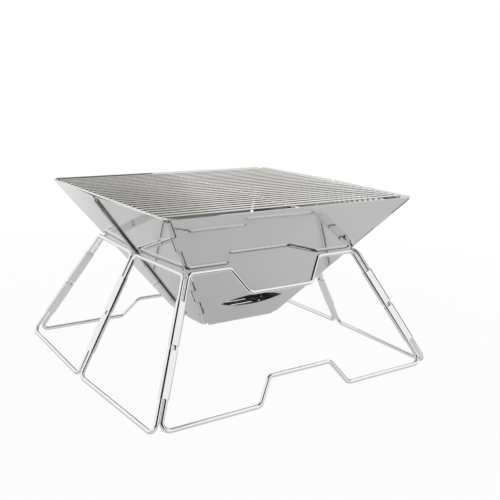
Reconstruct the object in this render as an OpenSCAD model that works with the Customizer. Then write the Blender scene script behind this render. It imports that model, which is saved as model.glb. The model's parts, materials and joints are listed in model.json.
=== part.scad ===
// Folding camp grill: a wire stand of six hinged loops, a hinged sheet fire box that drops into the
// stand's ring, a slotted fire plate and a welded wire grate. Millimetres, +Z up, +X to the right
// along the front plate, origin on the ground under the middle of the grill.

/* [Fire box] */
// Width between the corner hinge lines at the rim
rim_w = 330; // [322:1:334]
// Depth between the corner hinge lines at the rim
rim_d = 308; // [300:1:311]
// Width between the corner hinge lines at the bottom
base_w = 100; // [92:1:106]
// Depth between the corner hinge lines at the bottom
base_d = 78; // [72:1:82]
// Height of the rim over the ground
rim_z = 212; // [208:1:220]
// Height of the bottom edge over the ground
base_z = 52; // [48:1:56]
// Outward bow of each side wall, at the middle of the rim
side_bow = 8; // [5:0.5:9]
// Thickness of the steel sheet
sheet_t = 0.8; // [0.6:0.1:0.9]
// Diameter of the hinge pins
pin_d = 2.4; // [2:0.1:2.6]
// Knuckles along one corner hinge
corner_knuckles = 8; // [6:2:12]
// Length of the lens-shaped air vent
vent_w = 90; // [60:1:96]
// Height of the air vent
vent_h = 20; // [14:1:24]
// Height of the vent's middle over the bottom edge, along the plate
vent_up = 40; // [28:1:44]

/* [Stand] */
// Diameter of the stand's wire
wire_d = 5; // [4.6:0.1:5]
// Width between the front frame's legs at the ring
ring_w = 230; // [228:1:236]
// Depth between front and back frame at the ring
ring_d = 220; // [219:1:224]
// Height of the ring's wire over the ground
ring_z = 140; // [138:1:142]
// Width between the front frame's legs on the ground
ground_w = 367; // [362:1:372]
// Depth between front and back frame on the ground
ground_d = 350; // [344:1:354]
// Sideways lean of the middle legs, for each unit of height
mid_lean = 0.515; // [0.51:0.005:0.53]
// Distance between the two wires of a corner leg
leg_pitch = 6.2; // [6:0.1:6.6]
// Distance between the two wires of a middle leg
mid_pitch = 7.6; // [7.4:0.1:8.4]
// Bend radius of the wire at the corners, on its centre line
bend_r = 8; // [6:1:10]
// Half width of the dropped and raised middle sections of the frames, at their mouth
step_mouth = 62.5; // [56:0.5:68]
// Half width of those sections at their flat
step_flat = 43; // [38:0.5:48]
// Drop of the middle of the ring bar, along the frame
ring_drop = 30; // [24:1:34]
// Rise of the middle of the ground bar, along the frame
ground_rise = 28.5; // [24:0.5:32]
// Wall of the sleeves that hold two wires together
sleeve_wall = 0.8; // [0.6:0.1:0.9]
// Outward swing of the back right loop about its middle leg, in degrees, at the stand's open pivot
pivot_swing = 0.7; // [0.6:0.1:1.1]

/* [Grate] */
// Diameter of the grate's rim wire
grate_rim_d = 4; // [3.5:0.1:4.4]
// Diameter of the grate's bars
grate_bar_d = 2; // [1.8:0.1:2.8]
// Number of bars
grate_bars_n = 25; // [19:2:29]
// Height of the rim wire over the ground
grate_z = 208; // [208:0.5:210]
// Corner radius of the rim wire
grate_corner_r = 14; // [10:1:24]

/* [Fire plate] */
// Height of the plate's underside over the ground
fire_z = 70; // [62:1:74]
// Thickness of the plate
fire_t = 1.2; // [1:0.1:1.5]
// Number of slots
fire_slots = 7; // [5:1:7]

/* [Hidden] */
$fn = 48;

function unit(v) = v / norm(v);
function heading(a, b) = atan2(b.y - a.y, b.x - a.x);
// Turn of a closed outline at point i, positive to the left
function turn_at(pts, i) =
    let (n = len(pts))
    let (into = heading(pts[(i + n - 1) % n], pts[i]))
    let (out = heading(pts[i], pts[(i + 1) % n]))
    (out - into + 540) % 360 - 180;
function bend_reach(pts, i, r) = r * tan(abs(turn_at(pts, i)) / 2);

// Sheet geometry: the corner hinge lines run inside the sheets, the middle ones outside
run_gap = 0.05;
weld_sink = 0.3;
bend_grow = 0.04;
bend_tuck = 0.5;
roll_slack = 0.1;
knuckle_gap = 0.6;
tab_past = 1;
pin_past = 1;
bore_past = 1;
hinge_off = pin_d / 2 + run_gap + sheet_t / 2 + roll_slack;
knuckle_r = hinge_off + sheet_t / 2;
edge_back = knuckle_r + knuckle_gap;
open_edge_back = 6;
box_h = rim_z - base_z;
flare_w = (rim_w - base_w) / 2;
flare_d = (rim_d - base_d) / 2;
front_slant = norm([flare_d, box_h]);
hinge_len = norm([flare_w, flare_d, box_h]);
front_up = unit([0, -flare_d, box_h]);
front_out = cross([1, 0, 0], front_up);
corner_foot = [-base_w / 2, -base_d / 2, base_z];
corner_up = unit([-flare_w, -flare_d, box_h]);
// Both left corner hinge lines and the fold between them meet in one point under the box
apex = corner_foot + corner_up * base_d / (2 * corner_up.y);
side_up = unit([-rim_w / 2 - side_bow, 0, rim_z] - apex);
side_along = unit(corner_up - (corner_up * side_up) * side_up);
side_out = cross(side_along, side_up);
side_slant = box_h / side_up.z;
side_foot = apex + side_up * (base_z - apex.z) / side_up.z;
function in_panel(p) = [(p - side_foot) * side_along, (p - side_foot) * side_up];
// The middle hinge lies in the plane between the panels, which puts it a little aside of the fold
mid_aside = -2 * hinge_off * side_out.y / side_along.y;
mid_hinge_foot = side_foot + mid_aside * side_along + 2 * hinge_off * side_out;
hinge_end = 4;
knuckle_pitch = (hinge_len - 2 * hinge_end) / corner_knuckles;
// Middle hinge knuckles, as stations along the panel: the ring's wire lies in the gap between
mid_low = [for (i = [0:3]) 6 + i * 29.5];
mid_high = [108.5, 123.5, 152.5, 181.5, 196.5];

// Stand geometry for the front left corner and the left middle leg
wire_r = wire_d / 2;
leg_up = unit([(ground_w - ring_w) / 2, (ground_d - ring_d) / 2, ring_z - wire_r]);
mid_up = unit([mid_lean, 0, 1]);
frame_foot = [-ground_w / 2, -ground_d / 2, wire_r];
frame_up = unit([0, leg_up.y, leg_up.z]);
frame_len = (ring_z - wire_r) / frame_up.z;
leg_len = (ring_z - wire_r) / leg_up.z;
loop_out = unit(cross(mid_up, leg_up));
loop_along = unit(cross([0, 0, 1], loop_out)) * -1;
loop_up = cross(loop_out, loop_along);
loop_leg = frame_foot + leg_pitch * loop_out;
mid_foot_x = loop_leg.x - ((-mid_pitch / 2 - loop_leg.y) * loop_out.y
                           + (wire_r - loop_leg.z) * loop_out.z) / loop_out.x;
mid_foot = [mid_foot_x, -mid_pitch / 2, wire_r];
function on_leg(z) = loop_leg + leg_up * (z - loop_leg.z) / leg_up.z;
function on_mid(z) = mid_foot + mid_up * (z - mid_foot.z) / mid_up.z;
function in_loop(p) = [(p - mid_foot) * loop_along, (p - mid_foot) * loop_up];
// Each leg holds two sleeves, given as shares of the leg from the ground up
sleeve_spans = [[0.20, 0.50], [0.53, 0.81]];
clip_catch = 0.6;

grate_inset = 4;
grate_half_w = rim_w / 2 - grate_inset;
grate_half_d = rim_d / 2 - grate_inset;
bar_past = 1;
fire_past = 0.25;
fire_half_w = base_w / 2 + flare_w * (fire_z - base_z) / box_h + fire_past;
fire_half_d = base_d / 2 + flare_d * (fire_z - base_z) / box_h + fire_past;

// Puts local x, y, z along three given directions at a given point
module place(o, x, y, z) {
    multmatrix([
        [x[0], y[0], z[0], o[0]],
        [x[1], y[1], z[1], o[1]],
        [x[2], y[2], z[2], o[2]],
        [0, 0, 0, 1]
    ]) children();
}

module on_front_sheet() {
    place([0, -base_d / 2, base_z] + hinge_off * front_out, [1, 0, 0], front_up, front_out)
        children();
}

module on_left_sheet() {
    place(side_foot + hinge_off * side_out, side_along, side_up, side_out)
        children();
}

// Straight rod from point a to point b
module rod(a, b, r) {
    d = b - a;
    translate(a)
        rotate([0, acos(d.z / norm(d)), atan2(d.y, d.x)])
        cylinder(r = r, h = norm(d));
}

// Closed wire with rounded corners in the local XY plane. The bends are a hair thicker than the
// straights, which reach a little way into them
module wire_loop(pts, r, d) {
    n = len(pts);
    for (i = [0:n - 1]) {
        next = (i + 1) % n;
        into = heading(pts[(i + n - 1) % n], pts[i]);
        out = heading(pts[i], pts[next]);
        turn = turn_at(pts, i);
        side = sign(turn);
        start = pts[i] - bend_reach(pts, i, r) * [cos(into), sin(into)];
        centre = start + side * r * [-sin(into), cos(into)];
        translate(centre)
            rotate(into - side * 90 + min(turn, 0))
            rotate_extrude(angle = abs(turn))
            translate([r, 0])
            circle(d = d + 2 * bend_grow);
        leave = pts[i] + (bend_reach(pts, i, r) - bend_tuck) * [cos(out), sin(out)];
        reach = norm(pts[next] - leave) - bend_reach(pts, next, r) + bend_tuck;
        translate(leave) rotate(out) rotate([0, 90, 0]) cylinder(d = d, h = reach);
    }
}

// One trapezoid frame of the stand: ground bar with a raised middle, ring bar with a dropped middle
module stand_frame() {
    g = ground_w / 2;
    r = ring_w / 2;
    top = frame_len;
    outline = [
        [-g, 0], [-step_mouth, 0], [-step_flat, ground_rise],
        [step_flat, ground_rise], [step_mouth, 0], [g, 0],
        [r, top], [step_mouth, top], [step_flat, top - ring_drop],
        [-step_flat, top - ring_drop], [-step_mouth, top], [-r, top]
    ];
    place([0, -ground_d / 2, wire_r], [1, 0, 0], frame_up, cross([1, 0, 0], frame_up))
        wire_loop(outline, bend_r, wire_d);
}

// Half of one side of the stand, between a corner leg and a middle leg, which it may swing out about
module side_loop(swing = 0) {
    mid_top = in_loop(on_mid(ring_z));
    outline = [[0, 0], mid_top, in_loop(on_leg(ring_z)), in_loop(on_leg(wire_r))];
    place(mid_foot, loop_along, loop_up, loop_out)
        rotate(-swing, v = [mid_top.x, mid_top.y, 0])
        wire_loop(outline, bend_r, wire_d);
}

// Flattened tube round two parallel wires, with a bore for each
module sleeve_section(pitch, r_a, r_b) {
    outer = wire_r + run_gap + sleeve_wall;
    difference() {
        union() {
            circle(r = outer);
            translate([pitch, 0]) circle(r = outer);
            translate([0, -outer]) square([pitch, 2 * outer]);
        }
        circle(r = r_a);
        translate([pitch, 0]) circle(r = r_b);
    }
}

// The corner sleeves grip the loop's leg and turn on the frame's leg
module corner_sleeves() {
    place(frame_foot, loop_out, cross(leg_up, loop_out), leg_up)
        for (s = sleeve_spans)
            translate([0, 0, s[0] * leg_len])
                linear_extrude((s[1] - s[0]) * leg_len)
                sleeve_section(leg_pitch, wire_r + run_gap, wire_r);
}

// The middle sleeves turn on both middle legs
module mid_sleeves() {
    along = [0, 1, 0];
    mid_len = (ring_z - wire_r) / mid_up.z;
    place(mid_foot, along, cross(mid_up, along), mid_up)
        for (s = sleeve_spans)
            translate([0, 0, s[0] * mid_len])
                linear_extrude((s[1] - s[0]) * mid_len)
                sleeve_section(mid_pitch, wire_r + run_gap, wire_r + run_gap);
}

// Open clips on the frame's leg at the open pivot, with the mouth towards the loop's leg
module open_clips() {
    outer = wire_r + sleeve_wall;
    mouth = 2 * wire_r - clip_catch;
    place(frame_foot, loop_out, cross(leg_up, loop_out), leg_up)
        for (s = sleeve_spans)
            translate([0, 0, s[0] * leg_len])
                linear_extrude((s[1] - s[0]) * leg_len)
                difference() {
                    circle(r = outer);
                    circle(r = wire_r);
                    translate([0, -mouth / 2]) square([2 * outer, mouth]);
                }
}

// Rolled knuckles with their tabs along a hinge line from p to q in a sheet's plane. The line lies
// axis_up over the sheet, and the sheet lies to the left of it
module knuckles(p, q, axis_up, spans) {
    tab = edge_back + tab_past;
    translate(p)
        rotate(heading(p, q))
        for (s = spans) {
            long = s[1] - s[0] - knuckle_gap;
            translate([s[0] + knuckle_gap / 2, 0, axis_up])
                rotate([0, 90, 0])
                cylinder(r = knuckle_r, h = long);
            translate([s[0] + knuckle_gap / 2, 0, -sheet_t / 2])
                cube([long, tab, sheet_t]);
        }
}

// The bore through a row of knuckles
module hinge_bore(p, q, axis_up, r) {
    translate(p)
        rotate(heading(p, q))
        translate([-bore_past, 0, axis_up])
        rotate([0, 90, 0])
        cylinder(r = r, h = norm(q - p) + 2 * bore_past);
}

// Every second knuckle of a corner hinge, the first set for the plates, the second for the panels
function corner_spans(first) =
    [for (i = [first:2:corner_knuckles - 1])
        [hinge_end + i * knuckle_pitch, hinge_end + (i + 1) * knuckle_pitch]];
// The same spans measured from the other end of the hinge line
function reversed(spans, total) = [for (s = spans) [total - s[1], total - s[0]]];
function pairs(stations, first) =
    [for (i = [first:2:len(stations) - 2]) [stations[i], stations[i + 1]]];

module lens(w, h) {
    r = (w * w / 4 + h * h / 4) / h;
    intersection() {
        translate([0, h / 2 - r]) circle(r = r, $fn = 180);
        translate([0, r - h / 2]) circle(r = r, $fn = 180);
    }
}

// Front or back plate: a trapezoid with an air vent and knuckles on its slanted edges
module end_plate(right_hinge) {
    back = edge_back * hinge_len / front_slant;
    right_back = right_hinge ? back : open_edge_back * hinge_len / front_slant;
    low_r = [base_w / 2, 0];
    top_r = [rim_w / 2, front_slant];
    low_l = [-base_w / 2, 0];
    top_l = [-rim_w / 2, front_slant];
    on_front_sheet()
        difference() {
            union() {
                translate([0, 0, -sheet_t / 2])
                    linear_extrude(sheet_t)
                    difference() {
                        polygon([
                            low_l + [back, 0], low_r - [right_back, 0],
                            top_r - [right_back, 0], top_l + [back, 0]
                        ]);
                        translate([0, vent_up]) lens(vent_w, vent_h);
                    }
                knuckles(top_l, low_l, -hinge_off, reversed(corner_spans(0), hinge_len));
                if (right_hinge) knuckles(low_r, top_r, -hinge_off, corner_spans(0));
            }
            hinge_bore(top_l, low_l, -hinge_off, pin_d / 2);
            if (right_hinge) hinge_bore(low_r, top_r, -hinge_off, pin_d / 2);
        }
}

// Half of one side wall, from the middle hinge to a corner hinge
module side_panel(first, mid_bore_r, corner_bore_r) {
    back = edge_back / (corner_up * side_up);
    low_c = in_panel(corner_foot);
    top_c = in_panel(corner_foot + hinge_len * corner_up);
    low_m = [mid_aside, 0];
    top_m = [mid_aside, side_slant];
    on_left_sheet()
        difference() {
            union() {
                translate([0, 0, -sheet_t / 2])
                    linear_extrude(sheet_t)
                    polygon([
                        low_m + [edge_back, 0], low_c - [back, 0],
                        top_c - [back, 0], top_m + [edge_back, 0]
                    ]);
                knuckles(low_c, top_c, -hinge_off, corner_spans(1));
                knuckles(top_m, low_m, hinge_off,
                         reversed(concat(pairs(mid_low, first), pairs(mid_high, first)), side_slant));
            }
            hinge_bore(low_c, top_c, -hinge_off, corner_bore_r);
            hinge_bore(top_m, low_m, hinge_off, mid_bore_r);
        }
}

module corner_pin() {
    low = hinge_end - pin_past;
    rod(corner_foot + corner_up * low, corner_foot + corner_up * (hinge_len - low), pin_d / 2);
}

module mid_pin() {
    low = mid_low[0] - pin_past;
    high = mid_high[len(mid_high) - 1] + pin_past;
    rod(mid_hinge_foot + side_up * low, mid_hinge_foot + side_up * high, pin_d / 2);
}

module front_frame() {
    color("silver") stand_frame();
}

module back_frame() {
    color("silver") mirror([0, 1, 0]) stand_frame();
}

module left_front_loop() {
    color("silver") side_loop();
}

module left_back_loop() {
    color("silver") mirror([0, 1, 0]) side_loop();
}

module right_front_loop() {
    color("silver") mirror([1, 0, 0]) side_loop();
}

module right_back_loop() {
    color("silver") mirror([1, 0, 0]) mirror([0, 1, 0]) side_loop(pivot_swing);
}

module front_left_sleeves() {
    color("gainsboro") corner_sleeves();
}

module front_right_sleeves() {
    color("gainsboro") mirror([1, 0, 0]) corner_sleeves();
}

module back_left_sleeves() {
    color("gainsboro") mirror([0, 1, 0]) corner_sleeves();
}

module back_right_clips() {
    color("gainsboro") mirror([1, 0, 0]) mirror([0, 1, 0]) open_clips();
}

module mid_left_sleeves() {
    color("gainsboro") mid_sleeves();
}

module mid_right_sleeves() {
    color("gainsboro") mirror([1, 0, 0]) mid_sleeves();
}

module front_plate() {
    color("lightgray") end_plate(true);
}

module back_plate() {
    color("lightgray") mirror([0, 1, 0]) end_plate(false);
}

module left_front_panel() {
    color("lightgray") side_panel(0, pin_d / 2, pin_d / 2 + run_gap);
}

module left_back_panel() {
    color("lightgray") mirror([0, 1, 0]) side_panel(1, pin_d / 2 + run_gap, pin_d / 2 + run_gap);
}

module right_front_panel() {
    color("lightgray") mirror([1, 0, 0]) side_panel(0, pin_d / 2, pin_d / 2 + run_gap);
}

module right_back_panel() {
    color("lightgray")
        mirror([1, 0, 0]) mirror([0, 1, 0])
        side_panel(1, pin_d / 2 + run_gap, pin_d / 2);
}

module front_left_pin() {
    color("darkgray") corner_pin();
}

module front_right_pin() {
    color("darkgray") mirror([1, 0, 0]) corner_pin();
}

module back_left_pin() {
    color("darkgray") mirror([0, 1, 0]) corner_pin();
}

module back_right_pin() {
    color("darkgray") mirror([1, 0, 0]) mirror([0, 1, 0]) corner_pin();
}

module mid_left_pin() {
    color("darkgray") mid_pin();
}

module mid_right_pin() {
    color("darkgray") mirror([1, 0, 0]) mid_pin();
}

// Slotted plate for the coals, resting on the sloping walls
module fire_plate() {
    corner = 10;
    margin = 14;
    slot_h = 5;
    slot_pitch = (2 * fire_half_d - margin) / fire_slots;
    w = fire_half_w;
    d = fire_half_d;
    color("gray")
        translate([0, 0, fire_z])
        linear_extrude(fire_t)
        difference() {
            polygon([
                [-w + corner, -d], [w - corner, -d], [w, -d + corner], [w, d - corner],
                [w - corner, d], [-w + corner, d], [-w, d - corner], [-w, -d + corner]
            ]);
            for (i = [0:fire_slots - 1]) {
                y = (i - (fire_slots - 1) / 2) * slot_pitch;
                translate([-w + margin, y - slot_h / 2]) square([2 * (w - margin), slot_h]);
                for (x = [-1, 1]) translate([x * (w - margin), y]) circle(d = slot_h);
            }
        }
}

module grate_rim() {
    w = grate_half_w;
    d = grate_half_d;
    color("silver")
        translate([0, 0, grate_z])
        wire_loop([[-w, -d], [w, -d], [w, d], [-w, d]], grate_corner_r, grate_rim_d);
}

// Bars welded on top of the rim wire
module grate_bars() {
    z = grate_z + grate_rim_d / 2 + grate_bar_d / 2 - weld_sink;
    reach = grate_half_w + bar_past;
    pitch = 2 * grate_half_d / (grate_bars_n + 1);
    color("silver")
        for (i = [1:grate_bars_n])
            translate([-reach, i * pitch - grate_half_d, z])
                rotate([0, 90, 0])
                cylinder(d = grate_bar_d, h = 2 * reach);
}

// Support under the middle of the bars, welded into the rim
module grate_cross_rod() {
    reach = grate_half_d - grate_rim_d / 2 + weld_sink;
    color("silver")
        translate([0, -reach, grate_z])
        rotate([-90, 0, 0])
        cylinder(d = grate_rim_d, h = 2 * reach);
}

front_frame();
back_frame();
left_front_loop();
left_back_loop();
right_front_loop();
right_back_loop();
front_left_sleeves();
front_right_sleeves();
back_left_sleeves();
back_right_clips();
mid_left_sleeves();
mid_right_sleeves();
front_plate();
back_plate();
left_front_panel();
left_back_panel();
right_front_panel();
right_back_panel();
front_left_pin();
front_right_pin();
back_left_pin();
back_right_pin();
mid_left_pin();
mid_right_pin();
fire_plate();
grate_rim();
grate_bars();
grate_cross_rod();
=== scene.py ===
"""Looks of a flat-folding camp grill: bright drawn wire, near-mirror sheet and a plated wire grate.

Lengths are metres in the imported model's frame: +X right along the front plate, +Y back, +Z up.
"""
import json
import math

import bpy
from mathutils import Matrix, Vector


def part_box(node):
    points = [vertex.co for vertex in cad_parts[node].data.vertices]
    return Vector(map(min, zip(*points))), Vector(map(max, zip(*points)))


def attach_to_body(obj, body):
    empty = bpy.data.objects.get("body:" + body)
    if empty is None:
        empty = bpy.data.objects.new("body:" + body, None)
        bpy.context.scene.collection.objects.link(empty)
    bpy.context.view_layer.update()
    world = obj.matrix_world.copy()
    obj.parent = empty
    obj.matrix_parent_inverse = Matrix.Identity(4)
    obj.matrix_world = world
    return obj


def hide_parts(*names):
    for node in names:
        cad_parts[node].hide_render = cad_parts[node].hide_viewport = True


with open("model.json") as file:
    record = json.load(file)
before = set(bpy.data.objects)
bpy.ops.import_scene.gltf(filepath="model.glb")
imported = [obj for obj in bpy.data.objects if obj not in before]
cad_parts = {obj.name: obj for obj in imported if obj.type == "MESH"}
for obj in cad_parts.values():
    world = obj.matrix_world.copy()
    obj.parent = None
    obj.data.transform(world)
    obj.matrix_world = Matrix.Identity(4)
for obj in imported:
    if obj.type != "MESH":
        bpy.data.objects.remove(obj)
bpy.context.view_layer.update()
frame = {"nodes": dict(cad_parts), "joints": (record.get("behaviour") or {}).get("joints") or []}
nodes = frame["nodes"]
joints = {joint["name"]: joint for joint in frame["joints"]}
MM = 0.001
MICRON = 0.001 * MM

# Stand sizes that the frame's joints don't hold
RING_Z = 140 * MM
LEG_PITCH = 6.2 * MM
BEND_R = 8 * MM
STEP_MOUTH = 62.5 * MM
STEP_FLAT = 43 * MM
RING_DROP = 30 * MM
GROUND_RISE = 28.5 * MM
PIVOT_SWING = math.radians(0.7)
# Grate sizes
GRATE_RIM_R = 2 * MM
GRATE_CORNER_R = 14 * MM
GRATE_BARS = 25
# Smoothness of swept wire
WIRE_SIDES = 20
BEND_STEPS = 10


def feed(tree, socket, value):
    """Links a Value to a socket, or sets the socket to a plain value."""
    if isinstance(value, Value):
        tree.links.new(value.socket, socket)
    else:
        socket.default_value = value


class Value:
    """An output socket that takes part in Python sums: each operator adds one Math node."""

    def __init__(self, tree, socket):
        self.tree = tree
        self.socket = socket

    def math(self, operation, *terms):
        """The result of a Math node on values and numbers."""
        node = self.tree.nodes.new("ShaderNodeMath")
        node.operation = operation
        for socket, term in zip(node.inputs, terms):
            feed(self.tree, socket, term)
        return Value(self.tree, node.outputs[0])

    def __add__(self, other):
        return self.math("ADD", self, other)

    def __sub__(self, other):
        return self.math("SUBTRACT", self, other)

    def __rsub__(self, other):
        return self.math("SUBTRACT", other, self)

    def __mul__(self, other):
        return self.math("MULTIPLY", self, other)

    __radd__ = __add__
    __rmul__ = __mul__


def in_use(sockets):
    """The sockets that a node's settings leave in use."""
    return [socket for socket in sockets if socket.enabled]


class Nodes:
    """A shader or geometry tree that nodes are added to by type, settings and socket values."""

    def __init__(self, tree):
        self.tree = tree

    def add(self, kind, settings=None, output=None, ordered=(), **sockets):
        """Adds a node, whose sockets are fed in order or by name, with _ for a space.

        Returns the named output, or else the first one in use, as a Value.
        """
        node = self.tree.nodes.new(kind)
        for name, value in (settings or {}).items():
            if name == "stops":
                set_stops(node.color_ramp, value)
            else:
                setattr(node, name, value)
        for socket, value in zip(in_use(node.inputs), ordered):
            feed(self.tree, socket, value)
        for name, value in sockets.items():
            feed(self.tree, node.inputs[name.replace("_", " ")], value)
        found = [node.outputs[output]] if output else in_use(node.outputs)
        return Value(self.tree, found[0]) if found else None

    def mix(self, factor, first, second):
        """A colour between two colours."""
        return self.add("ShaderNodeMix", {"data_type": "RGBA"}, ordered=(factor, first, second))

    def vectors(self, operation, first, second):
        """A sum, difference or product of two vectors."""
        return self.add("ShaderNodeVectorMath", {"operation": operation}, ordered=(first, second))


def set_stops(ramp, stops):
    """Gives a colour ramp its grey stops."""
    while len(ramp.elements) > 1:
        ramp.elements.remove(ramp.elements[-1])
    for index, (place, level) in enumerate(stops):
        element = ramp.elements[0] if index == 0 else ramp.elements.new(place)
        element.position = place
        element.color = (level, level, level, 1)


def rgb(red, green, blue):
    """An opaque colour."""
    return (red, green, blue, 1.0)


EVEN = (1, 1, 1)


class Finish(Nodes):
    """A procedural material on one Principled shader."""

    def __init__(self, name, **fixed):
        self.material = bpy.data.materials.new(name)
        self.material.use_nodes = True
        super().__init__(self.material.node_tree)
        self.shader = self.tree.nodes["Principled BSDF"]
        self.set(**fixed)

    def set(self, **sockets):
        """Sets or links sockets of the shader, named with _ for a space."""
        for name, value in sockets.items():
            feed(self.tree, self.shader.inputs[name.replace("_", " ")], value)

    def place(self, scale):
        """Object coordinates, scaled along the three axes."""
        coordinates = self.add("ShaderNodeTexCoord", output="Object")
        return self.add("ShaderNodeMapping", Vector=coordinates, Scale=scale)

    def height(self):
        """Height over the ground, in metres."""
        coordinates = self.add("ShaderNodeTexCoord", output="Object")
        return self.add("ShaderNodeSeparateXYZ", output="Z", Vector=coordinates)

    def facing(self, point):
        """One on faces turned to a point, zero on faces turned away from it."""
        coordinates = self.add("ShaderNodeTexCoord", output="Object")
        normal = self.add("ShaderNodeTexCoord", output="Normal")
        away = self.vectors("DOT_PRODUCT", normal, self.vectors("SUBTRACT", coordinates, point))
        return away.math("LESS_THAN", away, 0.0)

    def noise(self, place, scale=1.0, detail=2.0, roughness=0.5):
        """Noise from zero to one at scaled coordinates."""
        return self.add("ShaderNodeTexNoise", Vector=place, Scale=scale, Detail=detail,
                        Roughness=roughness)

    def even_noise(self, scale, detail=2.0, roughness=0.5):
        """Noise that is alike in all directions, of a scale in spots to a metre."""
        return self.noise(self.place(EVEN), scale, detail, roughness)

    def ramp(self, value, *stops):
        """A value passed through grey stops, each a place and a level."""
        return self.add("ShaderNodeValToRGB", {"stops": stops}, Fac=value)

    def bump(self, height, depth, under=None):
        """A normal that follows a height, in metres at its full value."""
        more = {} if under is None else {"Normal": under}
        return self.add("ShaderNodeBump", Height=height, Distance=depth, Strength=1.0, **more)


# The walls' height, over which the sheets are bowed
SHEET_MIDDLE_Z = 132 * MM
SHEET_HALF_H = 80 * MM
END_BOW = 0.75 * MM
SIDE_BOW = 0.2 * MM
# The walls' inside gets painted shade, darker and duller toward the bottom, up to a band under the rim
BOX_MIDDLE = (0, 0, 170 * MM)
INSIDE_SHADE_FULL_Z = 165 * MM
INSIDE_SHADE_ENDS_Z = 208 * MM
INSIDE_SHADE_DULLING = 0.22
# Scales of the grain along and across it
GRAIN_ALONG_X = (18, 2600, 2600)
GRAIN_ALONG_Y = (2600, 18, 2600)
WIRE_LINES_ALONG = 12.0
WIRE_LINES_AROUND = 1400.0
# Scales of the grate's tone drift, partly a painted reflection that darkens and warms stretches of the
# bars
BAR_TONE_AND_REFLECTION_DRIFT = (4, 130, 60)
BAR_GRAIN = (60, 2200, 2200)


def sheet_steel(name, grain, bow):
    """Bright-annealed sheet: near mirror, with rolling grain along one axis, smudges and slight waves.

    It is bowed a little from bottom to rim, and its faces on the inside of the box get painted shade,
    darker and duller toward the bottom.
    """
    steel = Finish(name, Metallic=1.0)
    off_middle = (steel.height() - SHEET_MIDDLE_Z) * (1 / SHEET_HALF_H)
    crown = 1 - off_middle * off_middle
    lines = steel.noise(steel.place(grain), detail=3.0)
    smudge = steel.even_noise(14.0, detail=4.0, roughness=0.6)
    waves = steel.even_noise(6.0, detail=1.0)
    inside = steel.facing(BOX_MIDDLE)
    low = steel.add("ShaderNodeMapRange", {"interpolation_type": "SMOOTHSTEP"}, Value=steel.height(),
                    From_Min=INSIDE_SHADE_ENDS_Z, From_Max=INSIDE_SHADE_FULL_Z)
    # Painted shade: faces turned into the box darken and dull below the rim band, standing in for the
    # shade inside the box
    painted_inner_shade = inside * low
    bright = steel.mix(smudge, rgb(0.66, 0.66, 0.665), rgb(0.73, 0.73, 0.735))
    # Dark colour of the painted shade inside the box
    inside_shade_colour = steel.mix(smudge, rgb(0.15, 0.143, 0.136), rgb(0.27, 0.26, 0.25))
    shine = 0.02 + lines * 0.03 + steel.ramp(smudge, (0.45, 0.0), (0.75, 1.0)) * 0.03
    steel.set(
        Base_Color=steel.mix(painted_inner_shade, bright, inside_shade_colour),
        Roughness=shine + painted_inner_shade * INSIDE_SHADE_DULLING,
        Normal=steel.bump(lines, 2 * MICRON, steel.bump(waves, 0.3 * MM, steel.bump(crown, bow))),
    )
    return steel.material


def drawn_wire():
    """Bright drawn stainless wire with fine draw lines along its length."""
    steel = Finish("drawn_wire", Metallic=1.0)
    along = steel.add("ShaderNodeAttribute", {"attribute_name": "along"}, "Fac")
    around = steel.add("ShaderNodeAttribute", {"attribute_name": "around"}, "Vector")
    station = steel.add("ShaderNodeCombineXYZ", X=along * WIRE_LINES_ALONG)
    across = steel.add("ShaderNodeVectorMath", {"operation": "SCALE"}, Vector=around,
                       Scale=WIRE_LINES_AROUND)
    lines = steel.noise(steel.vectors("ADD", station, across), detail=3.0)
    stain = steel.even_noise(30.0, detail=3.0)
    steel.set(
        Base_Color=steel.mix(stain, rgb(0.84, 0.84, 0.845), rgb(0.92, 0.92, 0.92)),
        Roughness=0.03 + lines * 0.05 + stain * 0.03,
        Normal=steel.bump(lines, 6 * MICRON),
    )
    return steel.material


def pressed_steel():
    """Bright pressed sheet of the sleeves, a little duller than the wire, with small dings."""
    steel = Finish("pressed_steel", Metallic=1.0)
    scuffs = steel.even_noise(260.0, detail=4.0, roughness=0.65)
    patches = steel.even_noise(45.0)
    steel.set(
        Base_Color=steel.mix(patches, rgb(0.80, 0.80, 0.80), rgb(0.90, 0.895, 0.885)),
        Roughness=0.06 + steel.ramp(scuffs, (0.4, 0.0), (0.7, 1.0)) * 0.10,
        Normal=steel.bump(patches, 40 * MICRON, steel.bump(scuffs, 4 * MICRON)),
    )
    return steel.material


def pin_steel():
    """Cut rod of the hinge pins."""
    steel = Finish("pin_steel", Metallic=1.0)
    marks = steel.even_noise(900.0, detail=3.0)
    steel.set(
        Base_Color=steel.mix(marks, rgb(0.52, 0.52, 0.52), rgb(0.66, 0.66, 0.66)),
        Roughness=0.16 + marks * 0.16,
    )
    return steel.material


def plated_wire():
    """Nickel-plated grate wire with a warm tone that drifts from bar to bar and across the grate,
    partly a painted reflection: its darker, warmer stretches stand in for dark surroundings mirrored
    in the bars.
    """
    steel = Finish("plated_wire", Metallic=1.0)
    # Partly painted reflection: the slow drift darkens and warms stretches of the grate the way
    # mirrored dark surroundings would
    tone_and_painted_reflection = steel.noise(steel.place(BAR_TONE_AND_REFLECTION_DRIFT))
    grain = steel.noise(steel.place(BAR_GRAIN))
    steel.set(
        Base_Color=steel.mix(tone_and_painted_reflection, rgb(0.76, 0.735, 0.69), rgb(0.94, 0.925, 0.895)),
        Roughness=0.04 + grain * 0.08,
        Normal=steel.bump(grain, 3 * MICRON),
    )
    return steel.material


def weld_metal():
    """Spot welds: dull, pitted and tinted straw by the heat."""
    steel = Finish("weld_metal", Metallic=1.0)
    pits = steel.even_noise(1500.0, detail=3.0)
    tint = steel.even_noise(120.0)
    steel.set(
        Base_Color=steel.mix(tint, rgb(0.88, 0.87, 0.85), rgb(0.74, 0.71, 0.66)),
        Roughness=0.22 + pits * 0.2,
        Normal=steel.bump(pits, 40 * MICRON),
    )
    return steel.material


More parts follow.
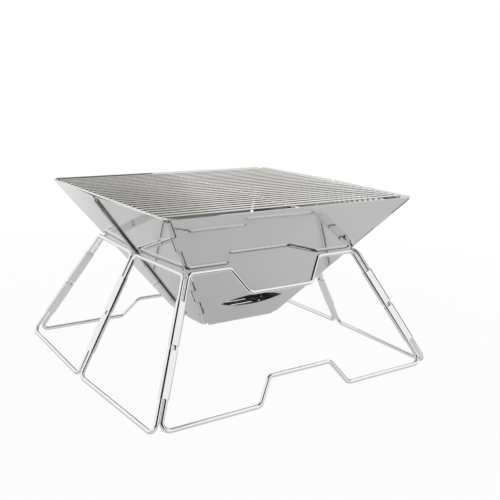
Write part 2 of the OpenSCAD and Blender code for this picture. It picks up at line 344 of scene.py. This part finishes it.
def scorched_plate():
    """Fire plate of plain steel sheet, dark with scale and soot, brighter where it is rubbed."""
    steel = Finish("scorched_plate", Metallic=0.7)
    soot = steel.even_noise(60.0, detail=6.0, roughness=0.7)
    rubbed = steel.ramp(soot, (0.52, 0.0), (0.68, 1.0))
    flakes = steel.even_noise(700.0, detail=3.0)
    steel.set(
        Base_Color=steel.mix(rubbed, rgb(0.022, 0.021, 0.02), rgb(0.17, 0.16, 0.155)),
        Roughness=0.62 - rubbed * 0.2 + flakes * 0.1,
        Normal=steel.bump(flakes, 60 * MICRON),
    )
    return steel.material


END_SHEET = sheet_steel("end_sheet", GRAIN_ALONG_X, END_BOW)
SIDE_SHEET = sheet_steel("side_sheet", GRAIN_ALONG_Y, SIDE_BOW)
WIRE = drawn_wire()
SLEEVE = pressed_steel()
PIN = pin_steel()
GRATE = plated_wire()
WELD = weld_metal()
SCORCHED = scorched_plate()


def dress(material, *names):
    """Gives CAD nodes a finish."""
    for name in names:
        slots = nodes[name].data.materials
        slots.clear()
        slots.append(material)


dress(END_SHEET, "front_plate", "back_plate")
dress(SIDE_SHEET, "left_front_panel", "left_back_panel", "right_front_panel", "right_back_panel")
dress(SLEEVE, "front_left_sleeves", "front_right_sleeves", "back_left_sleeves", "back_right_clips")
dress(SLEEVE, "mid_left_sleeves", "mid_right_sleeves")
dress(PIN, "front_left_pin", "front_right_pin", "back_left_pin", "back_right_pin")
dress(PIN, "mid_left_pin", "mid_right_pin")
dress(GRATE, "grate_bars", "grate_cross_rod")
dress(SCORCHED, "fire_plate")


class Geometry(Nodes):
    """A geometry tree with named inputs that makes one kind of piece."""

    def __init__(self, name, **inputs):
        tree = bpy.data.node_groups.new(name, "GeometryNodeTree")
        super().__init__(tree)
        tree.interface.new_socket("Geometry", in_out="INPUT", socket_type="NodeSocketGeometry")
        tree.interface.new_socket("Geometry", in_out="OUTPUT", socket_type="NodeSocketGeometry")
        self.keys = {}
        for label, kind in inputs.items():
            socket = tree.interface.new_socket(label, in_out="INPUT", socket_type="NodeSocket" + kind)
            self.keys[label] = socket.identifier

    def given(self, label):
        """One of the tree's named inputs."""
        return self.add("NodeGroupInput", output=label)

    def end(self, geometry, material):
        """Closes the tree: plain mesh with a material."""
        real = self.add("GeometryNodeRealizeInstances", Geometry=geometry)
        painted = self.add("GeometryNodeSetMaterial", Geometry=real, Material=material)
        self.add("NodeGroupOutput", Geometry=painted)
        return self

    def make(self, name, mesh, **values):
        """Runs the tree on a mesh and returns the result as a plain mesh object."""
        source = bpy.data.objects.new(name + "_source", mesh)
        bpy.context.scene.collection.objects.link(source)
        modifier = source.modifiers.new("tree", "NODES")
        modifier.node_group = self.tree
        for label, value in values.items():
            modifier[self.keys[label]] = value
        seen = source.evaluated_get(bpy.context.evaluated_depsgraph_get())
        made = bpy.data.meshes.new_from_object(seen)
        made.name = name
        source.modifiers.remove(modifier)
        bpy.data.objects.remove(source)
        piece = bpy.data.objects.new(name, made)
        bpy.context.scene.collection.objects.link(piece)
        return piece


def wire_sweep():
    """Closed polygon to round wire with rounded corners; keeps the place along and around the wire."""
    tree = Geometry("wire_sweep", WireRadius="Float", BendRadius="Float", BendSteps="Int",
                    Sides="Int", Material="Material")
    curve = tree.add("GeometryNodeMeshToCurve", Mesh=tree.given("Geometry"))
    round_curve = tree.add("GeometryNodeFilletCurve", {"mode": "POLY"}, Curve=curve,
                           Count=tree.given("BendSteps"), Radius=tree.given("BendRadius"))
    station = tree.add("GeometryNodeSplineParameter", output="Length")
    marked = tree.add("GeometryNodeStoreNamedAttribute", {"data_type": "FLOAT", "domain": "POINT"},
                      Geometry=round_curve, Name="along", Value=station)
    ring = tree.add("GeometryNodeCurvePrimitiveCircle", Resolution=tree.given("Sides"),
                    Radius=tree.given("WireRadius"))
    marked_ring = tree.add("GeometryNodeStoreNamedAttribute",
                           {"data_type": "FLOAT_VECTOR", "domain": "POINT"},
                           Geometry=ring, Name="around", Value=tree.add("GeometryNodeInputPosition"))
    tube = tree.add("GeometryNodeCurveToMesh", Curve=marked, Profile_Curve=marked_ring)
    smooth = tree.add("GeometryNodeSetShadeSmooth", Geometry=tube)
    return tree.end(smooth, tree.given("Material"))


def polygon_mesh(points):
    """A closed polygon of edges."""
    mesh = bpy.data.meshes.new("outline")
    count = len(points)
    mesh.from_pydata(points, [(i, (i + 1) % count) for i in range(count)], [])
    return mesh


def attach(piece, body, slot, *replaced):
    """Puts a piece on its body, in place of the CAD nodes that it replaces; the slot is not used."""
    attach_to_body(piece, body)
    if replaced:
        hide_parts(*replaced)


# Lines of the front left corner leg and the left middle leg, from the hinges on them
foot = Vector(joints["stand_fold"]["pos_m"])
leg_up = -Vector(joints["stand_fold"]["axis"])
mid_foot = Vector(joints["mid_left_sleeve_turn"]["pos_m"])
mid_up = Vector(joints["mid_left_sleeve_turn"]["axis"])
wire_r = foot.z
frame_up = Vector((0, leg_up.y, leg_up.z)).normalized()
loop_out = mid_up.cross(leg_up).normalized()
loop_foot = foot + LEG_PITCH * loop_out


def at_height(start, direction, z):
    """Where a leg's line reaches a height."""
    return start + direction * ((z - start.z) / direction.z)


def frame_outline():
    """Corners of the front frame: raised middle of the ground bar, dropped middle of the ring bar."""
    ring = at_height(foot, leg_up, RING_Z)
    top = (RING_Z - foot.z) / frame_up.z
    half = [(foot.x, 0), (-STEP_MOUTH, 0), (-STEP_FLAT, GROUND_RISE)]
    half_top = [(ring.x, top), (-STEP_MOUTH, top), (-STEP_FLAT, top - RING_DROP)]
    run = half + [(-x, s) for x, s in reversed(half)]
    run += [(-x, s) for x, s in half_top] + list(reversed(half_top))
    return [Vector((x, foot.y, foot.z)) + frame_up * s for x, s in run]


def loop_outline(swing=0.0):
    """Corners of the left front loop, which may swing out about its middle leg."""
    turn = Matrix.Rotation(swing, 3, -mid_up)
    corners = [
        at_height(mid_foot, mid_up, wire_r), at_height(mid_foot, mid_up, RING_Z),
        at_height(loop_foot, leg_up, RING_Z), at_height(loop_foot, leg_up, wire_r),
    ]
    return [mid_foot + turn @ (corner - mid_foot) for corner in corners]


def mirrored(points, side_x, side_y):
    """Points on the side of the grill that the two signs name."""
    return [Vector((p.x * side_x, p.y * side_y, p.z)) for p in points]


sweep = wire_sweep()


def wire_piece(name, points, material, radius, bend, body, slot, node):
    """Sweeps a loop of wire in place of its CAD node."""
    piece = sweep.make(name, polygon_mesh(points), WireRadius=radius, BendRadius=bend,
                       BendSteps=BEND_STEPS, Sides=WIRE_SIDES, Material=material)
    attach(piece, body, slot, node)


for node, points in {
    "front_frame": frame_outline(),
    "back_frame": mirrored(frame_outline(), 1, -1),
    "left_front_loop": loop_outline(),
    "left_back_loop": mirrored(loop_outline(), 1, -1),
    "right_front_loop": mirrored(loop_outline(), -1, 1),
    "right_back_loop": mirrored(loop_outline(PIVOT_SWING), -1, -1),
}.items():
    wire_piece(node + "_wire", points, WIRE, wire_r, BEND_R, node, "stand_wire", node)

rim_low, rim_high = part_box("grate_rim")
rim_x = rim_high.x - GRATE_RIM_R
rim_y = rim_high.y - GRATE_RIM_R
rim_z = (rim_low.z + rim_high.z) / 2
rim_corners = [Vector((x, y, rim_z)) for x, y in
               ((-rim_x, -rim_y), (rim_x, -rim_y), (rim_x, rim_y), (-rim_x, rim_y))]
wire_piece("grate_rim_wire", rim_corners, GRATE, GRATE_RIM_R, GRATE_CORNER_R,
           "grate", "grate_wire", "grate_rim")


# Least and greatest stretch of a weld bead
BEAD_LEAST = (0.8, 0.8, 0.85)
BEAD_MOST = (1.2, 1.15, 1.1)


def weld_row():
    """Squashed beads on every point of a mesh, each a little different."""
    tree = Geometry("weld_row", BeadRadius="Float", Flatness="Float", Seed="Int", Material="Material")
    bead = tree.add("GeometryNodeMeshIcoSphere", Radius=tree.given("BeadRadius"), Subdivisions=2)
    flat = tree.add("GeometryNodeTransform", Geometry=bead,
                    Scale=tree.add("ShaderNodeCombineXYZ", X=1.0, Y=1.0, Z=tree.given("Flatness")))
    soft = tree.add("GeometryNodeSetShadeSmooth", Geometry=flat)
    size = tree.add("FunctionNodeRandomValue", {"data_type": "FLOAT_VECTOR"},
                    Min=BEAD_LEAST, Max=BEAD_MOST, Seed=tree.given("Seed"))
    beads = tree.add("GeometryNodeInstanceOnPoints", Points=tree.given("Geometry"), Instance=soft,
                     Scale=size)
    return tree.end(beads, tree.given("Material"))


WELD_R = 1.5 * MM
WELD_FLATNESS = 0.6
WELD_SEED = 7
bar_pitch = 2 * rim_y / (GRATE_BARS + 1)
bar_places = [(i + 1) * bar_pitch - rim_y for i in range(GRATE_BARS)]
weld_z = rim_z + GRATE_RIM_R
weld_points = bpy.data.meshes.new("weld_points")
weld_points.from_pydata([(x, y, weld_z) for x in (-rim_x, 0, rim_x) for y in bar_places], [], [])
welds = weld_row().make("grate_welds", weld_points, BeadRadius=WELD_R, Flatness=WELD_FLATNESS,
                        Seed=WELD_SEED, Material=WELD)
attach(welds, "grate", "grate_wire")

# Camera at the photograph's place
CAMERA_AZIMUTH = -0.605
CAMERA_ELEVATION = 0.233
CAMERA_DISTANCE = 959.8 * MM
CAMERA_ROLL = 0.029
CAMERA_TARGET = Vector((39.0, 0, 126.4)) * MM
PHOTO_WIDTH = 500
FOCAL_PIXELS = 738.42
SENSOR = 36


def make_camera():
    """Stands a camera where the photograph was taken from, with its small roll."""
    data = bpy.data.cameras.new("camera")
    data.sensor_width = SENSOR
    data.lens = FOCAL_PIXELS / PHOTO_WIDTH * SENSOR
    camera = bpy.data.objects.new("camera", data)
    bpy.context.scene.collection.objects.link(camera)
    back = Vector((math.sin(CAMERA_AZIMUTH) * math.cos(CAMERA_ELEVATION),
                   -math.cos(CAMERA_AZIMUTH) * math.cos(CAMERA_ELEVATION),
                   math.sin(CAMERA_ELEVATION)))
    right = (-back).cross(Vector((0, 0, 1))).normalized()
    up = right.cross(-back)
    turned_right = right * math.cos(CAMERA_ROLL) + up * math.sin(CAMERA_ROLL)
    turned_up = up * math.cos(CAMERA_ROLL) - right * math.sin(CAMERA_ROLL)
    turn = Matrix((turned_right, turned_up, back)).transposed()
    camera.matrix_world = Matrix.Translation(CAMERA_TARGET + back * CAMERA_DISTANCE) @ turn.to_4x4()
    bpy.context.scene.camera = camera


make_camera()


def ray_kinds(tree):
    """One for rays from the camera, and one for rays in a reflection or through glass."""
    camera, glossy, through = (tree.add("ShaderNodeLightPath", output=name) for name in
                               ("Is Camera Ray", "Is Glossy Ray", "Is Transmission Ray"))
    return camera, camera.math("MAXIMUM", glossy, through)


def close_tree(tree, output_kind, share, plain, white):
    """Ends a tree in a mix of two shaders."""
    surface = tree.add("ShaderNodeMixShader", ordered=(share, plain, white))
    tree.add(output_kind, Surface=surface)


def stage_mesh(name, points, material):
    """A flat piece of the studio."""
    mesh = bpy.data.meshes.new(name)
    mesh.from_pydata(points, [], [list(range(len(points)))])
    mesh.materials.append(material)
    piece = bpy.data.objects.new(name, mesh)
    bpy.context.scene.collection.objects.link(piece)
    return piece


PLAIN_WHITE = rgb(1, 1, 1)
# Share of plain white on the floor near the grill, as seen and as mirrored, and where it is all white
SEEN_WHITE = 0.95
MIRRORED_WHITE = 0.35
WHITE_FROM = 0.35
WHITE_TO = 0.95
FLOOR_TONE = 0.8
FLOOR_RADIUS = 9.0
FLOOR_SIDES = 64
FLOOR_DROP = 0.1 * MM


def make_floor():
    """Pale floor that reads white and keeps a soft shadow round the grill."""
    paint = bpy.data.materials.new("floor_paint")
    paint.use_nodes = True
    paint.node_tree.nodes.clear()
    tree = Nodes(paint.node_tree)
    place = tree.add("ShaderNodeNewGeometry", output="Position")
    distance = tree.add("ShaderNodeVectorMath", {"operation": "LENGTH"}, Vector=place)
    far = tree.add("ShaderNodeMapRange", {"interpolation_type": "SMOOTHSTEP"}, Value=distance,
                   From_Min=WHITE_FROM, From_Max=WHITE_TO)
    camera, mirrored_ray = ray_kinds(tree)
    share = camera * (SEEN_WHITE + far * (1 - SEEN_WHITE))
    share = share + mirrored_ray * (MIRRORED_WHITE + far * (1 - MIRRORED_WHITE))
    matte = tree.add("ShaderNodeBsdfDiffuse", Color=rgb(FLOOR_TONE, FLOOR_TONE, FLOOR_TONE))
    white = tree.add("ShaderNodeEmission", Color=PLAIN_WHITE, Strength=1.0)
    close_tree(tree, "ShaderNodeOutputMaterial", share, matte, white)
    angles = [2 * math.pi * i / FLOOR_SIDES for i in range(FLOOR_SIDES)]
    stage_mesh("floor", [(FLOOR_RADIUS * math.cos(a), FLOOR_RADIUS * math.sin(a), -FLOOR_DROP)
                         for a in angles], paint)


make_floor()

WORLD_LIGHT = 0.45


def make_world():
    """White all round where it is seen or mirrored, and a weaker light for the rest."""
    world = bpy.data.worlds.new("studio")
    bpy.context.scene.world = world
    world.use_nodes = True
    world.node_tree.nodes.clear()
    tree = Nodes(world.node_tree)
    camera, mirrored_ray = ray_kinds(tree)
    light = tree.add("ShaderNodeBackground", Color=PLAIN_WHITE, Strength=WORLD_LIGHT)
    white = tree.add("ShaderNodeBackground", Color=PLAIN_WHITE, Strength=1.0)
    close_tree(tree, "ShaderNodeOutputWorld", camera + mirrored_ray, light, white)


make_world()

FLAG_ROUGHNESS = 0.9


def dark_flag(name, place, target, width, height, tone):
    """A dark card that only reflections show, which gives round metal its dark edges."""
    card = Finish(name, Base_Color=rgb(tone, tone, tone), Roughness=FLAG_ROUGHNESS)
    toward = (Vector(target) - Vector(place)).to_track_quat("Z", "Y").to_matrix()
    corners = [(-1, -1), (1, -1), (1, 1), (-1, 1)]
    piece = stage_mesh(name, [Vector(place) + toward @ Vector((x * width / 2, y * height / 2, 0))
                              for x, y in corners], card.material)
    piece.visible_camera = False
    piece.visible_diffuse = False
    piece.visible_shadow = False


dark_flag("right_flag", (1.2, -0.1, 0.42), (0, 0, 0.42), width=1.25, height=0.84, tone=0.02)
dark_flag("ceiling_flag", (0, -0.3, 1.6), (0, -0.3, 0), width=1.5, height=1.9, tone=0.35)
dark_flag("camera_flag", (-0.58, -1.05, 1.0), (0, 0, 1.0), width=1.7, height=2.0, tone=0.01)
dark_flag("far_flag", (0.5, 0.8, 0.25), (0, 0, 0.25), width=0.9, height=0.5, tone=0.03)
dark_flag("table_edge", (-0.25, -0.85, 0.002), (-0.25, -0.85, 1), width=1.2, height=1.1, tone=0.12)


def soft_box(name, place, target, width, height, power):
    """A large lamp that lights the scene but isn't mirrored in the metal."""
    data = bpy.data.lights.new(name, "AREA")
    data.shape = "RECTANGLE"
    data.size = width
    data.size_y = height
    data.energy = power
    lamp = bpy.data.objects.new(name, data)
    lamp.visible_glossy = False
    bpy.context.scene.collection.objects.link(lamp)
    lamp.location = place
    lamp.rotation_mode = "QUATERNION"
    lamp.rotation_quaternion = (Vector(target) - Vector(place)).to_track_quat("-Z", "Y")


GRILL_MIDDLE = (0, 0, 0.1)
soft_box("overhead_box", (1.2, 0.3, 1.5), GRILL_MIDDLE, width=1.6, height=1.8, power=11)
soft_box("left_box", (-1.5, -0.4, 0.8), GRILL_MIDDLE, width=0.9, height=0.9, power=6)

bpy.context.scene.view_settings.view_transform = "Standard"
